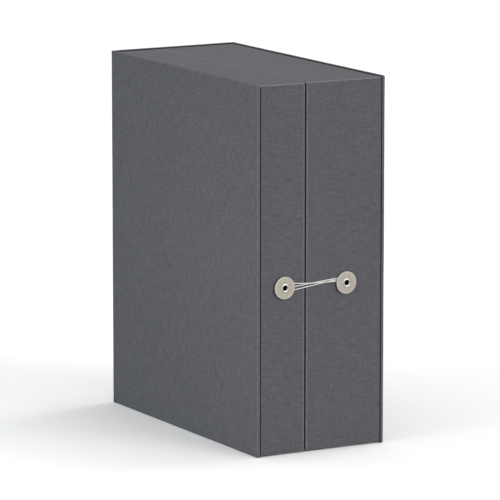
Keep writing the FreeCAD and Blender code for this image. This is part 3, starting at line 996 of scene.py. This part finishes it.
def makeButton(side, body, discBody):
    low, high = corners(side + "_disc")
    centre, radius = middleOf(side + "_disc"), (high.x - low.x) / 2
    back, front, r = high.y, low.y, button["edgeRadius"]
    bore = button["discBore"]
    profile = [(bore, back, 0.0), (bore + 1 * mm, back, 0.0), (radius - r * 1.6, back, 0.0)]
    turns = [quarter(k) for k in range(5)]
    profile += [(radius - r * along, back - r * across, 1.0) for across, along in turns]
    profile += [(radius - r * across, front + r * along, 1.0) for across, along in turns]
    profile += [(radius - r * 1.5, front, 0.25), (radius * 0.8, front - 0.02 * mm, 0.0),
                (radius * 0.5, front, 0.0), (bore + 0.4 * mm, front, 0.0), (bore, front + 0.1 * mm, 0.0)]
    disc = turned(side + "Button", profile, centre, "buttonFibre", 96)
    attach(disc, discBody)
    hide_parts(side + "_disc")

    flange, hole, roll = button["flangeRadius"], button["boreRadius"], button["roll"]
    seat, end = front - 0.06 * mm, corners(side + "_eyelet")[1].y
    half = (flange - hole) / 2
    profile = [(hole + 0.4 * mm, end, 0.0), (hole + 0.4 * mm, seat, 0.0), (flange - 0.1 * mm, seat, 0.0)]
    profile += [(hole + half + half * math.cos(a), seat - roll * math.sin(a) ** 0.8, 0.0)
                for a in np.linspace(0.12, math.pi - 0.12, 14)]
    profile += [(hole, seat + 0.1 * mm, 0.0), (hole, seat + 0.5 * mm, 0.0), (hole, end, 0.0)]
    # painted shade: the eyelet's bore is marked to be painted near-black
    eyelet = turned(side + "Eyelet", profile, centre, "eyeletMetal", 72,
                    paintedShadeAt=lambda radius, y: 1.0 if y > seat + 0.05 * mm else 0.0)
    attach(eyelet, body)
    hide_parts(side + "_eyelet")

    # painted shade: a near-black disc across the bore, just in front of the tray's own cloth, stands for
    # the shade down the hole
    outer, fit = narrowTray[0].y - 0.15 * mm, hole - 0.02 * mm
    inner = outer - 0.2 * mm
    profile = [(0.05 * mm, inner, 0.0), (fit, inner, 0.0), (fit, outer, 0.0), (0.05 * mm, outer, 0.0)]
    stop = turned(side + "BoreCloth", profile, centre, "trayCloth", 32,
                  paintedShadeAt=lambda radius, y: 1.0)
    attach(stop, body)


makeButton("left", lid, "left_button")
makeButton("right", root, "right_button")
print("buttons made")


# closure string
string = {
    "diameter": 1.2 * mm,
    "postGap": 0.1 * mm,
    "plies": 2,
    "twist": 7.0 * mm,  # one turn of the plies
    "plyShare": 0.68,  # radius of a ply, as a share of the string's
    "sample": 0.3 * mm,
    "length": 277.9 * mm,
    "sides": 8,
}


def stringRoute():
    # control points of the string's route: post, then along X and Z from it, and depth in front of the tray
    low, high = corners("left_spacer")
    left, right = middleOf("left_spacer"), middleOf("right_spacer")
    face, post = high.y, (high.x - low.x) / 2
    d, gap = string["diameter"], string["postGap"]
    lap = post + d / 2 + gap
    over = lap + d + gap
    deep = d / 2 + gap
    lift = deep + 0.4 * mm
    cross = deep + d + 0.15 * mm
    rows = [
        (left, lap + 0.3 * mm, -0.5 * mm, deep),
        (right, -6.0 * mm, over, deep),
        (right, over, over, deep),
        (right, over, -over, deep),
        (right, -over, -over, deep),
        (right, -over, 2.0 * mm, lift),
        (right, -12.4 * mm, 2.3 * mm, lift),
        (right, -18.0 * mm, 2.6 * mm, cross),
        (left, 30.5 * mm, 2.3 * mm, cross),
        (left, 22.0 * mm, 2.7 * mm, deep),
        (left, 2.0 * mm, lap, deep),
        (left, -lap, lap, deep),
        (left, -lap, -lap, deep),
        (left, 2.0 * mm, -lap, deep),
        (right, -6.0 * mm, lap, deep),
        (right, lap, lap, deep),
        (right, lap, -lap, deep),
        (right, -1.0 * mm, -lap, deep),
    ]
    return [(p[0] + along, face - depth, p[1] + up) for p, along, up, depth in rows]


def splineLine(points):
    # the smooth line of a NURBS spline with those points
    curve = bpy.data.curves.new("stringLine", "CURVE")
    curve.dimensions = "3D"
    curve.resolution_u = 24
    spline = curve.splines.new("NURBS")
    spline.points.add(len(points) - 1)
    for place, point in zip(spline.points, points):
        place.co = (*point, 1.0)
    spline.order_u = 3
    spline.use_endpoint_u = True
    holder = bpy.data.objects.new("stringLine", curve)
    mesh = bpy.data.meshes.new_from_object(holder)
    line = [v.co.copy() for v in mesh.vertices]
    bpy.data.meshes.remove(mesh)
    bpy.data.objects.remove(holder)
    bpy.data.curves.remove(curve)
    return line


def evenly(line, step):
    # the same line with points a step apart
    places = np.array([tuple(p) for p in line])
    run = np.concatenate([[0.0], np.cumsum(np.linalg.norm(np.diff(places, axis=0), axis=1))])
    wanted = np.linspace(0.0, run[-1], int(run[-1] / step) + 1)
    return np.stack([np.interp(wanted, run, places[:, k]) for k in range(3)], axis=1), wanted


def makeString():
    line = splineLine(stringRoute())
    places, run = evenly(line, string["sample"])
    tangents = np.gradient(places, axis=0)
    tangents /= np.linalg.norm(tangents, axis=1)[:, None]
    radius = string["diameter"] / 2
    plyRadius = radius * string["plyShare"]
    plyOff = radius - plyRadius
    sides = string["sides"]
    across = np.cross(tangents, np.array([0.0, 1.0, 0.0]))
    across /= np.linalg.norm(across, axis=1)[:, None]
    upward = np.cross(across, tangents)
    verts, faces, uvs, edge = [], [], [], []
    for ply in range(string["plies"]):
        base = len(verts)
        for k in range(len(places)):
            turn = 2 * math.pi * (run[k] / string["twist"] + ply / string["plies"])
            out = across[k] * math.cos(turn) + upward[k] * math.sin(turn)
            centre = places[k] + out * plyOff
            for s in range(sides):
                a = 2 * math.pi * s / sides
                way = across[k] * math.cos(a) + upward[k] * math.sin(a)
                verts.append(centre + way * plyRadius)
                # painted shade on the side of each ply that faces the other
                edge.append(max(0.0, -float(way @ out)) ** 0.5)
        for k in range(len(places) - 1):
            for s in range(sides):
                faces.append([base + i for i in quad(sides, k, s)])
                u0, u1 = s / sides * 0.002, (s + 1) / sides * 0.002
                uvs += [(u0, run[k]), (u1, run[k]), (u1, run[k + 1]), (u0, run[k + 1])]
        for k in (0, len(places) - 1):
            faces.append([base + k * sides + s for s in range(sides)])
            uvs += [(0.0, run[k])] * sides
    piece = fixNormals(makePiece("closureString", verts, faces, "waxedString", uvs, edge))
    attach(piece, lid)
    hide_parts("closure_string")
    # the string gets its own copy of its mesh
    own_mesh(piece)
    print("string length %.1f mm" % (run[-1] / mm))


makeString()


# finishes of the pieces that the frame brings in as they are
carried = {
    "_board": "greyboard",
    "_wall": "greyboard",
    "_back_panel": "liningPaper",
    "_spacer": "washerFibre",
    "_washer": "washerFibre",
}
for nodeName, node in nodes.items():
    for ending, finish in carried.items():
        if nodeName.endswith(ending):
            for place in node.material_slots:
                place.material = finishes[finish]


# floor and studio light
studio = {
    "floorSize": 40.0,  # metres from the middle to each side
    "floorColour": (1.0, 1.0, 1.0),
    "floorBounce": (0.42, 0.42, 0.42),  # what the floor gives back to the box
    "floorGlow": 0.02,  # the backdrop is a little overexposed
    "worldStrength": 0.76,
    "sunAngle": 34.0,  # degrees; wide lamps, soft shadows
    # name, colour, strength, direction that the light comes from
    "lamps": (
        ("keySun", (1.0, 0.985, 0.97), 0.82, (1.0, 0.10, 0.75)),
        ("leftFill", (0.68, 1.0, 1.09), 1.0, (-1.0, -0.10, 0.05)),
        ("frontFill", (1.0, 0.98, 1.0), 1.22, (0.45, -1.0, 0.35)),
    ),
    # a soft panel close to the left side, so that the side is brighter towards the front
    "panelPower": 0.85,
    "panelSize": 0.3,
    "panelPlace": (-0.62, -0.20, 0.17),
    "panelTarget": (-0.08, -0.20, 0.17),
}


def addLamp(name, kind, strength, place, way):
    data = bpy.data.lights.new(name, kind)
    data.energy = strength
    lamp = addObject(name, data)
    lamp.location = place
    aimAlong(lamp, way)
    return lamp


def makeLamp(name, colour, strength, source):
    lamp = addLamp(name, "SUN", strength, Vector(source).normalized() * 3.0, -Vector(source))
    lamp.data.color = colour
    lamp.data.angle = math.radians(studio["sunAngle"])


def makePanel():
    place, target = Vector(studio["panelPlace"]), Vector(studio["panelTarget"])
    lamp = addLamp("sidePanel", "AREA", studio["panelPower"], place, target - place)
    lamp.data.size = studio["panelSize"]
    lamp.visible_camera = False


def makeStudio():
    mesh = bpy.data.meshes.new("floor")
    size = studio["floorSize"]
    verts = [(-size, -size, 0), (size, -size, 0), (size, size, 0), (-size, size, 0)]
    mesh.from_pydata(verts, [], [(0, 1, 2, 3)])
    floor = addObject("floor", mesh)
    material, kit, shader = startMaterial("floorPaper", 0.9, Specular_IOR_Level=0.0,
                                          Emission_Color=(1.0, 1.0, 1.0, 1.0))
    seen = kit.add("LightPath").outputs["Is Camera Ray"]
    below = kit.add("NewGeometry").outputs["Backfacing"]  # clear when seen from below
    kit.drive(shader, Base_Color=kit.mix(seen, studio["floorBounce"], studio["floorColour"]),
              Emission_Strength=kit.times(seen, studio["floorGlow"]),
              Alpha=kit.math("SUBTRACT", 1.0, below))
    mesh.materials.append(material)
    world = bpy.data.worlds.new("studio")
    world.use_nodes = True
    background = world.node_tree.nodes["Background"]
    background.inputs["Color"].default_value = (1.0, 1.0, 1.0, 1.0)
    background.inputs["Strength"].default_value = studio["worldStrength"]
    bpy.context.scene.world = world
    for lamp in studio["lamps"]:
        makeLamp(*lamp)
    makePanel()
    bpy.context.scene.view_settings.view_transform = "Standard"


makeStudio()
print("studio made")
